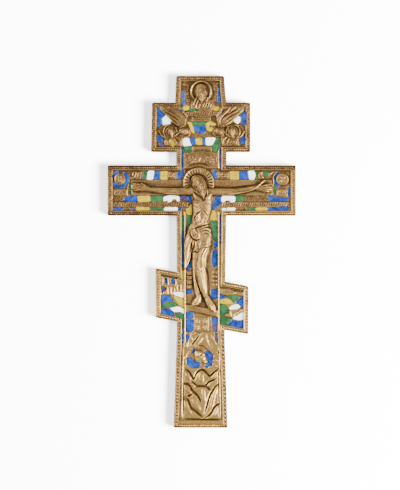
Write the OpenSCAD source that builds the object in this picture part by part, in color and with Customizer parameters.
// Eight-pointed enamelled cross, cast in brass in one piece, lying on its flat back.
// X runs to the right, Y up the cross and Z out of its face. The origin is the middle of the back.

/* [Cross] */
// Height of the cross. Every other size is that of a 170 mm cross and grows with it
cross_h = 170; // [120:1:240]

/* [Plate and border] */
// Thickness of the plate at the sunk ground
ground_z = 3; // [2.4:0.1:4]
// Height of the border above the ground
border_rise = 0.65; // [0.4:0.05:1]
// Width of the plain outer rim
rim_w = 0.5; // [0.4:0.1:0.6]
// Width of the channel that holds the beading
bead_channel_w = 1.3; // [1.1:0.1:1.4]
// Depth of that channel below the top of the border
bead_channel_depth = 0.3; // [0.2:0.05:0.35]
// Width of the plain line inside the beading
line_w = 0.6; // [0.4:0.1:0.7]
// Radius of the worn outer corners
corner_r = 0.5; // [0.3:0.1:0.8]

/* [Enamel] */
// Depth of the cells below the ground
cell_depth = 0.8; // [0.5:0.1:1.2]
// How far the enamel lies below the ground
enamel_drop = 0.05; // [0.05:0.05:0.2]
// Gap between the enamel and the wall of its cell
enamel_gap = 0.06; // [0.06:0.01:0.08]

/* [Relief] */
// How high the figures stand, against their normal height
relief = 1; // [0.7:0.05:1.3]
// Outer radius of the large halo
halo_r = 7.5; // [7:0.1:8]
// Width of the large halo
halo_w = 2.9; // [2:0.1:3.2]
// Width of the grooves in the rocks
groove_w = 0.8; // [0.5:0.1:1]

/* [Hidden] */

drawn_h = 170;
size = cross_h / drawn_h;
border_w = rim_w + bead_channel_w + line_w;
border_top = ground_z + border_rise;
// Raised work starts inside the plate, so that it is one solid with it
root_depth = 1.5;
sunk_z = ground_z - root_depth;
cell_floor = ground_z - cell_depth;
enamel_top = ground_z - enamel_drop;
above_all = ground_z + 9;
cell_margin = 0.01;
// Flat facets across each rounded form
arc_steps = 8;
lens_steps = 5;
band_step = 20;
brass = "darkgoldenrod";

// The panels of the cross. Columns: top left, top right, bottom right, bottom left
PANELS = [
    [[-12.3, 85], [10.8, 85], [12, 71], [-12.9, 71]],
    [[-24, 72.1], [23.5, 72.1], [23.5, 48.2], [-24.5, 48.2]],
    [[-12.3, 50], [12, 50], [12, 40], [-12.3, 40]],
    [[-45.45, 41.8], [45.45, 41.8], [45.45, 17.4], [-45.45, 17.5]],
    [[-12.2, 19], [11.9, 19], [11.1, -40], [-12, -40]],
    [[-22.3, -7.8], [22.6, -16.6], [22.5, -39.8], [-22.2, -31.8]],
    [[-12, -38], [11, -38], [12.5, -85], [-13.6, -85]]
];

// A rectangle, a pointed leaf between two ends, a bent band and an oval, each as a list of points
function box(left, right, bottom, top) = [[left, bottom], [right, bottom], [right, top], [left, top]];
function across(a, b) = let (d = (b - a) / norm(b - a)) [-d.y, d.x];
function lens(a, b, bulge, back) = concat(
    [for (k = [0:lens_steps]) let (t = k / lens_steps)
        a + (b - a) * t + across(a, b) * bulge * sin(180 * t)],
    [for (k = [1:lens_steps - 1]) let (t = k / lens_steps)
        b + (a - b) * t - across(a, b) * back * sin(180 * t)]
);
function polar(c, r, a) = c + r * [cos(a), sin(a)];
function bend(c, r_in, r_out, from, to) = let (n = ceil((to - from) / band_step)) concat(
    [for (k = [0:n]) polar(c, r_out, from + (to - from) * k / n)],
    [for (k = [0:n]) polar(c, r_in, to - (to - from) * k / n)]
);
function oval(c, rx, ry) = [for (a = [0:band_step:359]) c + [rx * cos(a), ry * sin(a)]];

// The cells, seen from the front. Columns: enamel, outline
CELLS = [
    // Top panel
    ["blue", box(-9.5, -8.6, 71, 77.5)],
    ["blue", box(7.8, 8.8, 72.2, 79)],
    ["yellow", [[-9.4, 69.2], [-8.4, 68.4], [-6, 69], [-6, 70.3], [-8, 70.4]]],
    ["yellow", lens([5.4, 69], [9, 69], 1, 0.9)],
    ["green", [[-5.8, 69.2], [-3, 69.4], [-1, 68.6], [-1.6, 67.9], [-5.4, 67.9]]],
    ["blue", [[-11, 68.4], [-10.2, 68.9], [-9, 68], [-9.8, 67.3]]],
    ["violet", [[9.4, 68], [10.2, 68.8], [11, 68.4], [10, 67]]],
    // Upper bar
    ["blue", [[-21.3, 69.2], [-20.4, 69.2], [-17.6, 66.2], [-19.4, 64.4], [-20, 61.6], [-21.3, 60]]],
    ["white", [[-17.3, 66.2], [-14.7, 63.4], [-15.5, 62], [-18.3, 61.2], [-19.2, 64.2]]],
    ["blue", [[18.6, 65.4], [20.9, 68.4], [21.6, 67], [21.6, 61.6], [19.8, 61.5], [18.9, 63.6]]],
    ["white", [[15, 63.7], [17.5, 65.5], [18.5, 65.2], [18.8, 63.6], [17.4, 62]]],
    ["green", [[-4.9, 62.6], [1.7, 62.6], [1.8, 61], [-4.2, 61]]],
    ["blue", [[-4.2, 61], [1.8, 61], [2, 58.6], [0.9, 57.2], [-0.7, 57.6], [-2.4, 58.2], [-3.7, 59.4]]],
    ["yellow", [[-6.9, 62.6], [-4.9, 62.6], [-3.8, 59.4], [-4.1, 57.4], [-5.2, 58.4], [-5.6, 60.6]]],
    ["yellow", bend([4.1, 60.6], 0.9, 2.2, 40, 320)],
    ["yellow", [[5.2, 62.4], [7, 61.7], [5.6, 61.2], [4.9, 61.3]]],
    ["blue", [[-21.9, 55.4], [-20.6, 56.1], [-18.8, 54.6], [-18.8, 53], [-21.2, 53.2]]],
    ["violet", [[-20.6, 52.8], [-18.5, 52.4], [-18.6, 51], [-20.2, 51.3]]],
    ["yellow", [[-14.7, 54.9], [-13.7, 54.9], [-13.5, 53.6], [-12.7, 52.4], [-14, 50.8],
        [-15.6, 52.6], [-14.6, 53.5]]],
    ["blue", [[18.5, 54.2], [20.3, 55.8], [21.4, 54.4], [21, 52.4], [19, 52.4]]],
    // Strip above the small panel
    ["white", [[-9.4, 53.6], [-8.5, 54.8], [-6.1, 55], [-5.6, 52.8], [-4.9, 51.4], [-8.7, 51]]],
    ["blue", [[-6.1, 55], [-3.1, 54.9], [-3, 52.2], [-4, 51.7], [-4.9, 51.4], [-5.6, 52.8]]],
    ["yellow", box(-3, 0.2, 51.9, 54.8)],
    ["blue", box(0.4, 1.9, 51.7, 55)],
    ["white", [[1.9, 55], [6.8, 55], [5.2, 51.7], [1.9, 51.7]]],
    ["green", [[6.8, 55], [8.7, 54.8], [8.6, 49.8], [7.4, 48], [4.9, 48], [5.2, 51.7]]],
    ["green", [[-8.7, 51], [-4.9, 51.4], [-4.8, 48.2], [-8.4, 48]]],
    ["blue", [[-9.8, 50], [-8.8, 50], [-8.7, 42], [-8.9, 39.6], [-9.8, 40.4]]],
    ["violet", box(8.5, 9.4, 40, 49.5)],
    // Main bar, strip along its top
    ["green", [[-28.4, 35], [-26.6, 35], [-26, 38.9], [-28, 38.9]]],
    ["white", [[-26.6, 35], [-23.6, 35], [-22.9, 39], [-26, 39]]],
    ["blue", [[-23.6, 35], [-20.3, 35.2], [-20.2, 38.8], [-22.9, 39]]],
    ["yellow", box(-19.8, -16.7, 35, 38.7)],
    ["blue", [[-11.7, 35], [-10.4, 34.8], [-9, 37.4], [-8.8, 39], [-11.7, 38.4]]],
    ["blue", [[5.2, 38.5], [6, 34.9], [6.7, 34.9], [7.1, 38.4], [6.5, 39.4]]],
    ["yellow", [[14, 35], [18, 35.1], [17.9, 38.8], [13.7, 38.6]]],
    ["blue", [[18.2, 35.2], [22.9, 35.1], [22.2, 38.9], [18.1, 38.8]]],
    ["white", [[22.9, 35.1], [25, 35], [25.9, 37], [24.9, 39], [22.2, 38.9]]],
    ["green", [[25.9, 35.2], [27, 35.6], [27.2, 38], [26.2, 38.6], [26.3, 37]]],
    ["green", [[29.8, 38.8], [30.2, 36.7], [32, 36.8], [32.6, 38.2], [31.4, 39]]],
    // Main bar, sun and moon
    ["blue", bend([-39.5, 35.1], 2.9, 4.2, -155, 55)],
    ["blue", bend([-39.5, 35.1], 2.9, 4.2, 105, 165)],
    ["blue", bend([38.9, 35], 3.1, 4, 120, 240)],
    ["green", lens([-34.6, 34.6], [-34.4, 27.9], 0.5, 0.5)],
    ["green", lens([35.2, 32.6], [35.4, 27.6], 0.6, 0.6)],
    ["blue", box(41.7, 42.7, 26.5, 30.8)],
    // Main bar, strip under the arms
    ["blue", [[-37.6, 24.8], [-34, 24.3], [-31, 24.4], [-31, 27], [-33.5, 27], [-37.2, 26]]],
    ["yellow", box(-31, -24.9, 24.4, 27)],
    ["green", box(-24.9, -18.5, 24.2, 26.8)],
    ["white", [[-18.5, 26.4], [-15.5, 27], [-10.8, 26.7], [-10.8, 24.5], [-11.8, 24.7], [-12.4, 25.7],
        [-14, 25.8],
        [-15, 24.4], [-16.3, 24.2], [-15.8, 25.4], [-17, 25.1], [-18.5, 24.3]]],
    ["violet", box(-10.8, -6.9, 25.1, 26.8)],
    ["blue", [[-6.9, 25.1], [-5.7, 24.1], [-4.9, 24.3], [-4.8, 26.8], [-6.9, 26.8]]],
    ["blue", [[6.7, 26.6], [9.2, 26.4], [9.2, 23.6], [7.3, 21.6], [5.3, 20.6], [5.2, 21.6]]],
    ["white", [[9.4, 26.2], [10.2, 26.8], [16.2, 26.8], [16.2, 24.9], [15.6, 24.2], [14, 24.2],
        [13.4, 25.3],
        [11.5, 25.1], [10.4, 24.2], [9.6, 24.6]]],
    ["green", [[16.2, 24.9], [18, 24.7], [20.5, 25.4], [21.5, 26.2], [19, 26.8], [16.2, 26.8]]],
    ["blue", [[31.8, 26.2], [33, 26.8], [36.5, 26.2], [41.5, 25.6], [41.5, 24.8], [36, 24.4],
        [33.4, 24.6]]],
    // Main bar, thin strip along its foot
    ["blue", [[-43, 20.2], [-38.6, 20.2], [-38.2, 20.9], [-40, 21.6], [-42.8, 21.4]]],
    ["violet", lens([-34.6, 20.7], [-32, 20.7], 0.5, 0.5)],
    ["yellow", box(-31.4, -25.2, 20.2, 21.4)],
    ["green", box(-24.9, -18.5, 20, 21.3)],
    ["white", [[-18.3, 19.9], [-11.6, 19.9], [-11.6, 21.4], [-17.6, 21.3]]],
    ["blue", box(-11.6, -9.8, 20.1, 21.4)],
    ["white", box(10, 11.4, 19.9, 20.9)],
    ["white", box(12.3, 15.8, 19.9, 21.1)],
    ["green", box(21.9, 26, 20, 21.3)],
    ["yellow", box(26, 31.4, 20.1, 21.3)],
    ["blue", [[32, 19.9], [41.7, 20], [41.6, 21.9], [38, 21.6], [32.2, 21.3]]],
    // Shaft beside the figure
    ["green", box(-9.7, -8.7, 10, 17.2)],
    ["blue", box(-9.7, -8.7, -6, 9.8)],
    ["yellow", box(-9.6, -8.6, -13.2, -9.2)],
    ["violet", box(8.6, 9.5, 4, 17)],
    ["yellow", [[-5.5, 22.6], [-5, 22.4], [-4.9, 17.8], [-7.2, 17.8], [-7.3, 20.4], [-6, 21.2]]],
    ["green", [[-7.2, 17.8], [-4.9, 17.8], [-5, 15], [-5.7, 12.6], [-7.2, 12.3]]],
    ["yellow", [[5.2, 20.2], [5.9, 19.9], [7.3, 16.6], [6.8, 15.2], [3.9, 15.2], [4.6, 17.5]]],
    ["green", [[3.9, 15.2], [6.8, 15.2], [7.5, 13], [7.6, 8], [7.2, 5.4], [6, 5.4], [5.2, 9],
        [4.7, 12.5]]],
    ["blue", [[6, 5.4], [7.2, 5.4], [7.1, 2.4], [6.5, 1.6], [5.9, 2.6]]],
    ["blue", [[6.3, 1.3], [7.2, 0.2], [7.5, -3], [7.3, -6.4], [6.2, -7.4], [5.3, -6.5], [4.9, -3],
        [5.3, 0]]],
    ["blue", [[-4.7, -3.9], [-4.6, -6], [-6.3, -8.7], [-7.4, -8.6], [-6.5, -6.4]]],
    ["blue", box(-7.4, -4.8, -20, -18.3)],
    ["blue", [[4.6, -18.1], [7.6, -18.1], [7.6, -21.5], [7, -22.6], [5.4, -22.6], [4.6, -21.5]]],
    ["blue", [[-7.4, -28.9], [-5, -28.9], [-4.2, -29.7], [-4.2, -31.5], [-5, -32.1], [-7.4, -32]]],
    ["blue", [[-7.4, -33], [-4.6, -33], [-4.1, -34], [-4.1, -37.4], [-5, -38.4], [-7.4, -38.4]]],
    ["blue", [[-7.4, -40], [-6.7, -40], [-6.1, -41.4], [-6.9, -42.6], [-7.4, -42.4]]],
    ["blue", [[4.8, -31.9], [7.3, -32.4], [7.4, -34.2], [5, -33.9]]],
    ["violet", [[5, -35], [7.4, -35.2], [7.4, -38.4], [5.6, -38]]],
    ["violet", [[6.4, -39.4], [7.6, -39.8], [7.9, -44.2], [6.5, -42]]],
    // Slanted bar, left
    ["blue", [[-18, -12.6], [-16.7, -12.9], [-16.7, -15.6], [-17.6, -15]]],
    ["blue", [[-14.8, -12.9], [-13.2, -13.2], [-13, -15.4], [-14.6, -15]]],
    ["violet", [[-19.7, -16.5], [-18, -17.2], [-17, -18.2], [-19.5, -19.4]]],
    ["white", [[-13.5, -19.7], [-8.8, -19.9], [-8.8, -21.9], [-11, -21.4], [-13, -20.7]]],
    ["yellow", [[-13.6, -21.3], [-12.2, -21.6], [-9.8, -22.5], [-8.8, -23.8], [-8.8, -26.8],
        [-10.8, -25]]],
    ["blue", [[-19.9, -21.5], [-17.4, -21], [-15.4, -22], [-14.2, -23.9], [-16.6, -23.9],
        [-19.9, -24.9]]],
    ["green", [[-19.6, -25.3], [-16, -24.3], [-14, -24.4], [-11.8, -26.1], [-14.6, -26.6], [-19.4, -27]]],
    ["white", [[-15, -27.3], [-12, -26.5], [-8.7, -28], [-8.7, -29.8], [-10.5, -28.9], [-13, -28.7]]],
    ["blue", [[-19.8, -28], [-17, -27.4], [-14.6, -28.8], [-13, -31], [-13.6, -31.3], [-19.8, -29.7]]],
    ["green", [[-12.9, -29.6], [-10.4, -29.2], [-8.7, -30.4], [-8.7, -37.2], [-9.5, -37.2],
        [-9.6, -32.4], [-12.4, -31.4]]],
    ["blue", box(-9.5, -8.7, -44, -37.5)],
    // Slanted bar, right
    ["blue", [[8.7, -20.8], [11.5, -21.6], [10.6, -22.4], [8.7, -22.3]]],
    ["green", [[12.6, -22], [15.6, -21], [18, -21.8], [16.8, -23.2], [15.2, -23.8]]],
    ["yellow", [[8.8, -23.4], [11, -22.7], [13.4, -23], [15, -25], [12.6, -25], [10, -24.8],
        [8.8, -24.4]]],
    ["blue", [[16.9, -24.2], [19, -22], [20.2, -23], [20.1, -26.6], [18.7, -25.9]]],
    ["green", [[8.7, -26], [9.8, -25.3], [11.6, -26.2], [13.2, -28], [10.4, -30.5], [8.7, -30]]],
    ["white", [[13.2, -27.5], [15, -26], [17.4, -25.6], [18.5, -26.3], [17.4, -27.2], [14.6, -27.8]]],
    ["white", [[15.4, -31.9], [20, -29.4], [20, -32.6], [17.6, -32.9]]],
    ["green", [[8.7, -32], [10.8, -31.8], [14, -32.6], [12.4, -34.6], [10.4, -35], [8.7, -33.8]]],
    ["blue", [[12.7, -35.1], [15, -33.4], [19.6, -33.2], [20.2, -34.4], [20.1, -37], [17, -36.8]]],
    // Cave in the hill
    ["blue", [[-7.3, -51.4], [-5.4, -51], [-4.2, -52.8], [-0.6, -53.4], [-0.8, -54.8], [-2.6, -56],
        [-5, -56], [-7.2, -54]]],
    ["blue", [[1.5, -48.4], [2.8, -47.8], [5.2, -49.8], [5.2, -54.6], [3.4, -55.4], [2.4, -56],
        [1.8, -55],
        [3.2, -53], [2.6, -50.6]]],
    ["blue", [[-5, -48.4], [-4, -46.8], [-3, -47.6], [-3.4, -48.9]]]
];

// Straight raised bars. Columns: rise, left, right, bottom, top
BARS = [
    [0.5, -8, 8, 40.3, 50.9],
    [0.6, -8.7, -8, 40.3, 51],
    [0.6, 7.9, 8.4, 40.3, 49.6],
    [0.55, -8.6, -7.8, -46, 19.6],
    [0.55, 7.7, 8.5, -46, 19.6],
    [0.45, -34, 34, 27.3, 34.8],
    [0.3, -43, -5.2, 21.7, 24],
    [0.3, 9.6, 42.4, 21.7, 24],
    [0.35, -43, -35.8, 27.2, 30.2],
    [0.35, 35.9, 41.5, 27, 30.2],
    [0.4, -8.2, 8.2, 65.6, 67.8],
    [0.5, -5, 4.4, 62.9, 65.2],
    [0.35, -3.5, 3.2, -38.2, -31.6],
    [0.4, -9.5, 8.9, -80.8, -79.6]
];

// Courses of the small brick wall and of the scroll beside the shins
BRICKS = [for (row = [0:3], col = [0:1]) [-7.2 + 1.5 * col, -11.2 - 2.2 * row]];
brick = [1.2, 1.8];
scroll_x = 5.2;
scroll_ys = [-10.5, -12.6, -14.7, -16.8];
scroll_size = [2.2, 1.4];
course_rise = 0.3;

// Flat raised shapes. Columns: rise, outline
PLATES = [
    // Foot plank
    [0.8, [[-7.7, -25.4], [7.6, -28.2], [7.6, -31.3], [-7.7, -28.6]]],
    // Town wall, roofs and the ground below them
    [0.45, [[-19.8, -11.6], [-8.8, -13.8], [-8.8, -19.4], [-13.8, -19.4], [-15, -20.8], [-19.8, -20.6]]],
    [0.4, [[8.7, -17.4], [20, -19.6], [20, -21.4], [15.4, -20.6], [11.6, -21], [8.7, -20.3]]],
    [0.5, [[13.6, -28.2], [19.6, -27.2], [20, -28.6], [14.8, -31.8], [10.8, -31], [13.2, -29.4]]],
    // Corner scrolls of the main bar
    [0.35, [[-33.8, 35.2], [-29.6, 35.2], [-29, 38.8], [-33.2, 38.8]]],
    [0.35, [[-16.2, 35.2], [-12.4, 35.2], [-12.4, 38.8], [-16, 38.8]]],
    [0.35, [[7.6, 35.2], [13.2, 35.2], [13, 38.8], [7.8, 38.8]]],
    [0.35, [[27.4, 35.2], [29.9, 35.2], [29.4, 38.8], [27.6, 38.6]]]
];

// Wing, robe and staff of the right-hand angel, mirrored for the left-hand one. Columns: rise, outline
ANGEL = [
    [0.9, [[6.8, 66.2], [11.4, 71.4], [19.4, 71.6], [20.6, 68.8], [14.6, 62.6], [12.4, 60.4], [8, 60.6]]],
    [0.7, [[9.4, 57.4], [13.6, 59.6], [14.6, 55.4], [18, 54.4], [18, 51.4], [9.8, 51], [9.2, 54.6]]],
    [0.8, [[17, 54.4], [21.3, 58.2], [21.3, 59], [16.6, 55]]]
];
angel_halo = [17.2, 58.1];
angel_halo_r = 3.3;

// Rounded forms lofted along a spine. Columns: x, y, half width, rise above the ground
ANGEL_HEAD = [
    [16.7, 55.3, 0.9, 1.3], [16.9, 56.6, 1.6, 1.8], [17.2, 58.2, 2, 2], [17.4, 59.8, 1.5, 1.7],
    [17.5, 60.8, 0.6, 1.2]
];
ANGEL_KNEE = [
    [5.8, 58, 1, 0.8], [7, 58.2, 2.1, 1.3], [8.8, 58.2, 2.4, 1.5], [10.4, 58, 1.7, 1.2],
    [11.4, 57.8, 0.8, 0.8]
];
BUST_ROBE = [
    [0.2, 68, 5, 0.7], [0.2, 70, 5.9, 1], [0.2, 72.4, 5.5, 1.2], [0.2, 74.4, 3.6, 1.2],
    [0.1, 75.6, 1.6, 1.1]
];
BUST_HAIR = [
    [-0.2, 73.4, 1.8, 1.2], [-0.2, 75.2, 2.8, 1.5], [-0.3, 77.6, 3.1, 1.6], [-0.3, 79.6, 2.4, 1.4],
    [-0.3, 80.7, 1, 1.1]
];
BUST_FACE = [
    [-0.2, 72.1, 0.7, 1.4], [-0.2, 73.7, 1.4, 1.8], [-0.2, 76, 1.9, 2], [-0.2, 78.1, 1.7, 1.8],
    [-0.2, 79.2, 0.8, 1.5]
];
CHEST = [
    [0.1, 31.4, 2.6, 1.5], [-0.1, 29.6, 5.2, 2], [0.2, 27, 5.6, 2.3], [0.2, 24, 4.8, 2.6],
    [0.1, 21, 4.6, 2.6], [-0.3, 18, 4.1, 2.2], [-0.9, 15.4, 3.9, 2.1], [-1, 12.8, 4.4, 2],
    [-1, 11, 5, 1.9]
];
HIPS = [
    [-0.9, 13.2, 4.1, 1.9], [-1.2, 11.4, 5.4, 2.4], [-1.2, 8.8, 6, 2.7], [-0.9, 5.8, 5.8, 2.7],
    [-0.3, 2.8, 5.2, 2.5], [0.1, 0.6, 3.9, 2.1]
];
DRAPE = [
    [-6, 9.6, 1, 1.8], [-6.5, 6, 1.6, 2.3], [-6.6, 1, 1.7, 2.1], [-7, -3.6, 1.3, 1.7],
    [-8, -7.8, 0.5, 1.1]
];
KNOT = [[-3.6, 11.2, 0.7, 2.7], [-3.2, 9.6, 1.6, 3.2], [-2.8, 7.6, 1.6, 3.2], [-2.5, 6, 0.7, 2.8]];
FRONT_LEG = [
    [1.7, 6, 3, 2.5], [1.1, 1.6, 2.8, 2.8], [0.2, -2.6, 2.4, 2.7], [-0.5, -8, 2.7, 2.5],
    [-0.2, -13, 2.3, 2.3], [0.8, -18, 1.7, 2], [1.9, -21.6, 1.2, 1.8]
];
FRONT_FOOT = [
    [2, -20.8, 1.1, 1.7], [3.2, -23.4, 1.5, 2.1], [4.6, -26, 1.8, 2.1], [5.8, -28.2, 1.3, 1.6],
    [6.2, -29, 0.6, 1.3]
];
REAR_LEG = [
    [-2.4, 3.4, 2.4, 2], [-3, -2, 1.9, 2], [-3.3, -7, 1.5, 1.7], [-3.1, -12, 1.2, 1.4],
    [-2.5, -17, 1.3, 1.4], [-1.8, -21, 1.3, 1.5]
];
REAR_FOOT = [
    [-1.2, -20.8, 1.2, 1.5], [-1.7, -23, 1.8, 1.9], [-3, -24.7, 1.8, 1.9], [-4.2, -25.6, 1.1, 1.5],
    [-4.8, -26, 0.5, 1.2]
];
LEFT_ARM = [
    [-3.4, 29.2, 2.4, 1.9], [-9, 29.4, 1.9, 2], [-15, 29.3, 1.8, 1.9], [-20, 29.6, 1.6, 1.8],
    [-25.4, 30.2, 1.3, 1.6]
];
LEFT_HAND = [
    [-24.6, 30.2, 1.2, 1.5], [-27.6, 31, 2.1, 1.6], [-30.8, 31.3, 2.7, 1.5], [-33, 31.4, 2.2, 1.3],
    [-34.2, 31.4, 1.2, 1.1]
];
RIGHT_ARM = [
    [3.6, 29, 2.4, 1.9], [9, 29, 1.9, 2], [15, 29, 1.8, 1.9], [20, 29.7, 1.6, 1.8],
    [25.6, 31, 1.3, 1.6]
];
RIGHT_HAND = [
    [24.8, 30.8, 1.2, 1.5], [27.6, 31.2, 2.1, 1.6], [30.4, 30.8, 2.6, 1.5], [32.6, 30.4, 2, 1.3],
    [33.8, 30.2, 1.1, 1.1]
];
RIGHT_THUMB = [[27.6, 32, 0.8, 1.5], [29.2, 33.4, 0.8, 1.5], [30.6, 34.6, 0.5, 1.2]];
HAIR = [
    [0.6, 27.6, 2.4, 2.4], [-0.4, 30, 3.3, 2.7], [-1.4, 33, 3.5, 2.8], [-1.9, 35.2, 2.8, 2.6],
    [-2.1, 36.6, 1.3, 2.1]
];
HEAD = [
    [0.9, 25.6, 0.6, 2.6], [0.7, 26.7, 1.3, 3], [0.2, 28.6, 1.9, 3.3], [-0.5, 31, 2.3, 3.4],
    [-1.1, 33, 2.3, 3.4], [-1.5, 34.6, 1.8, 3.1], [-1.8, 35.6, 0.8, 2.8]
];
SKULL = [
    [-1.4, -54, 1.2, 0.9], [-1.5, -52.8, 1.7, 1.3], [-1.3, -51, 2.6, 1.5], [-1, -49.2, 2.4, 1.4],
    [-0.8, -47.8, 1.1, 1]
];

halo_c = [-1.5, 33.2];
halo_rise = 1.2;
// The large halo ends behind the shoulders
shoulder_y = 28.6;
bust_halo_c = [-0.3, 77.4];
bust_halo_r = 5.2;
sun_c = [-39.5, 35.1];
sun_r = 2.7;
moon_c = [38.9, 35];
moon_r = 2.9;
// A small halo's ring, and a disc in low relief
ring_w = 0.9;
ring_rise = 1.1;
disc_rise = 0.55;

HILL = [
    [-9.2, -46.5], [-6.4, -42.6], [-5.2, -39.6], [-3, -38.8], [-1, -40], [0.6, -38.7], [4.4, -38.7],
        [6, -41],
    [7.8, -45.4], [8.8, -47], [8.8, -56.4], [-9.2, -56.4]
];
hill_rise = 0.5;
cave_c = [-1, -51.2];
cave_rx = 6.5;
cave_ry = 5.1;

// The rocks fill this panel, and the grooves between them are cut to the ground
rock_panel = [[-9.5, -56.1], [8.6, -56.1], [8.9, -79.9], [-10, -79.9]];
rock_rise = 0.45;
GROOVES = [
    [[-9, -56], [-6, -58], [-4, -61.2], [-2.5, -58.5], [0, -56.8], [4, -60], [8.6, -56.2]],
    [[-5.2, -62.3], [-2.5, -64.8], [1.5, -64.8], [3.5, -62.8], [7.5, -61]],
    [[1.7, -65], [4.2, -67.2]],
    [[8.2, -63.4], [5, -67.5], [3, -72], [1.7, -76.5]],
    [[-9.4, -63.4], [-7, -63.5], [-5.5, -65], [-4, -67.5], [-1.5, -70], [-0.3, -72.6]],
    [[-4.4, -69], [-6.5, -69.5], [-9.4, -70.6]],
    [[-9.4, -71], [-7, -71.8], [-5, -75.5], [-2, -78], [1, -80.4]],
    [[1, -80.4], [4, -79], [6, -75], [8.8, -73.1]]
];

// Outline of the whole cross, drawn in by a distance
module outline(inset) {
    offset(delta = -inset) offset(r = corner_r) offset(delta = -corner_r)
        for (panel = PANELS) polygon(panel);
}

// A flat shape that stands out of the plate by its rise
module raised(rise) {
    translate([0, 0, sunk_z]) linear_extrude(ground_z - sunk_z + rise * relief) children();
}

module plate() {
    linear_extrude(ground_z) outline(0);
    linear_extrude(border_top) difference() {
        outline(0);
        outline(border_w);
    }
}

module bead_channel() {
    translate([0, 0, border_top - bead_channel_depth]) linear_extrude(above_all) difference() {
        outline(rim_w);
        outline(rim_w + bead_channel_w);
    }
}

// One ring of a lofted form: upright sides up to the ground, and a half oval above it
function heading(rows, i) = let (
    a = rows[max(i - 1, 0)],
    b = rows[min(i + 1, len(rows) - 1)],
    d = [b[0] - a[0], b[1] - a[1]]
) d / norm(d);
function ring(row, dir) = let (side = [dir.y, -dir.x] * row[2], up = row[3] * relief) concat(
    [[row[0] + side.x, row[1] + side.y, sunk_z]],
    [for (k = [0:arc_steps]) let (a = 180 * k / arc_steps)
        [row[0] + side.x * cos(a), row[1] + side.y * cos(a), ground_z + up * sin(a)]],
    [[row[0] - side.x, row[1] - side.y, sunk_z]]
);

module form(rows) {
    around = arc_steps + 3;
    last = len(rows) - 1;
    points = [for (i = [0:last]) each ring(rows[i], heading(rows, i))];
    start_cap = [for (k = [around - 1:-1:0]) k];
    end_cap = [for (k = [0:around - 1]) last * around + k];
    skin = [for (i = [0:last - 1], k = [0:around - 1]) let (next = (k + 1) % around)
        [i * around + k, i * around + next, (i + 1) * around + next, (i + 1) * around + k]];
    polyhedron(points = points, faces = concat([start_cap], skin, [end_cap]));
}

// A ring that slopes up to its outer edge, as cast haloes do
module halo(centre, outer, width, rise) {
    inner_share = 0.6;
    edge = 0.3;
    translate([centre.x, centre.y, 0]) rotate_extrude() polygon([
        [outer - width, sunk_z], [outer, sunk_z], [outer, ground_z + rise * relief - edge],
        [outer - edge, ground_z + rise * relief], [outer - width, ground_z + rise * relief * inner_share]
    ]);
}

module disc(centre, radius, rise) {
    raised(rise) translate(centre) circle(radius);
}

module angel() {
    for (shape = ANGEL) raised(shape[0]) polygon(shape[1]);
    halo(angel_halo, angel_halo_r, ring_w, ring_rise);
    form(ANGEL_HEAD);
    form(ANGEL_KNEE);
}

module bust() {
    halo(bust_halo_c, bust_halo_r, ring_w, ring_rise);
    for (rows = [BUST_ROBE, BUST_HAIR, BUST_FACE]) form(rows);
}

module figure() {
    intersection() {
        halo(halo_c, halo_r, halo_w, halo_rise);
        translate([-halo_r * 2, shoulder_y, 0]) cube([halo_r * 4, halo_r * 2, above_all]);
    }
    for (rows = [
        LEFT_ARM, LEFT_HAND, RIGHT_ARM, RIGHT_HAND, RIGHT_THUMB, CHEST, HIPS, DRAPE, KNOT,
        REAR_LEG, REAR_FOOT, FRONT_LEG, FRONT_FOOT, HAIR, HEAD
    ]) form(rows);
}

module sun_and_moon() {
    disc(sun_c, sun_r, disc_rise);
    disc(moon_c, moon_r, disc_rise);
}

module hill() {
    raised(hill_rise) difference() {
        polygon(HILL);
        polygon(oval(cave_c, cave_rx, cave_ry));
    }
    form(SKULL);
}

// A groove of even width that narrows to its two ends
function stroke(path, width) = let (last = len(path) - 1, end_share = 0.4) concat(
    [for (i = [0:last]) path[i] + across(path[max(i - 1, 0)], path[min(i + 1, last)])
        * width / 2 * (i == 0 || i == last ? end_share : 1)],
    [for (i = [last:-1:0]) path[i] - across(path[max(i - 1, 0)], path[min(i + 1, last)])
        * width / 2 * (i == 0 || i == last ? end_share : 1)]
);

module rocks() {
    raised(rock_rise) difference() {
        polygon(rock_panel);
        for (path = GROOVES) polygon(stroke(path, groove_w));
    }
}

module ornament() {
    for (bar = BARS) raised(bar[0]) polygon(box(bar[1], bar[2], bar[3], bar[4]));
    for (plate = PLATES) raised(plate[0]) polygon(plate[1]);
    for (corner = BRICKS) raised(course_rise) translate(corner) square(brick);
    for (y = scroll_ys) raised(course_rise) translate([scroll_x, y]) square(scroll_size);
}

// Cells that meet are one pocket
module cell_cutters() {
    translate([0, 0, cell_floor]) linear_extrude(above_all)
        offset(delta = cell_margin) for (cell = CELLS) polygon(cell[1]);
}

module casting() {
    color(brass) scale(size) difference() {
        union() {
            plate();
            ornament();
            rocks();
            hill();
            sun_and_moon();
            angel();
            mirror([1, 0, 0]) angel();
            bust();
            figure();
        }
        bead_channel();
        cell_cutters();
    }
}

// All the enamel of one colour, a loose piece in each of its cells
module enamel(name, shade) {
    color(shade) scale(size) translate([0, 0, cell_floor]) linear_extrude(enamel_top - cell_floor)
        for (cell = CELLS) if (cell[0] == name) offset(delta = -enamel_gap) polygon(cell[1]);
}

casting();
enamel("white", "white");  // enamel_white
enamel("yellow", "gold");  // enamel_yellow
enamel("green", "seagreen");  // enamel_green
enamel("blue", "royalblue");  // enamel_blue
enamel("violet", "slateblue");  // enamel_violet
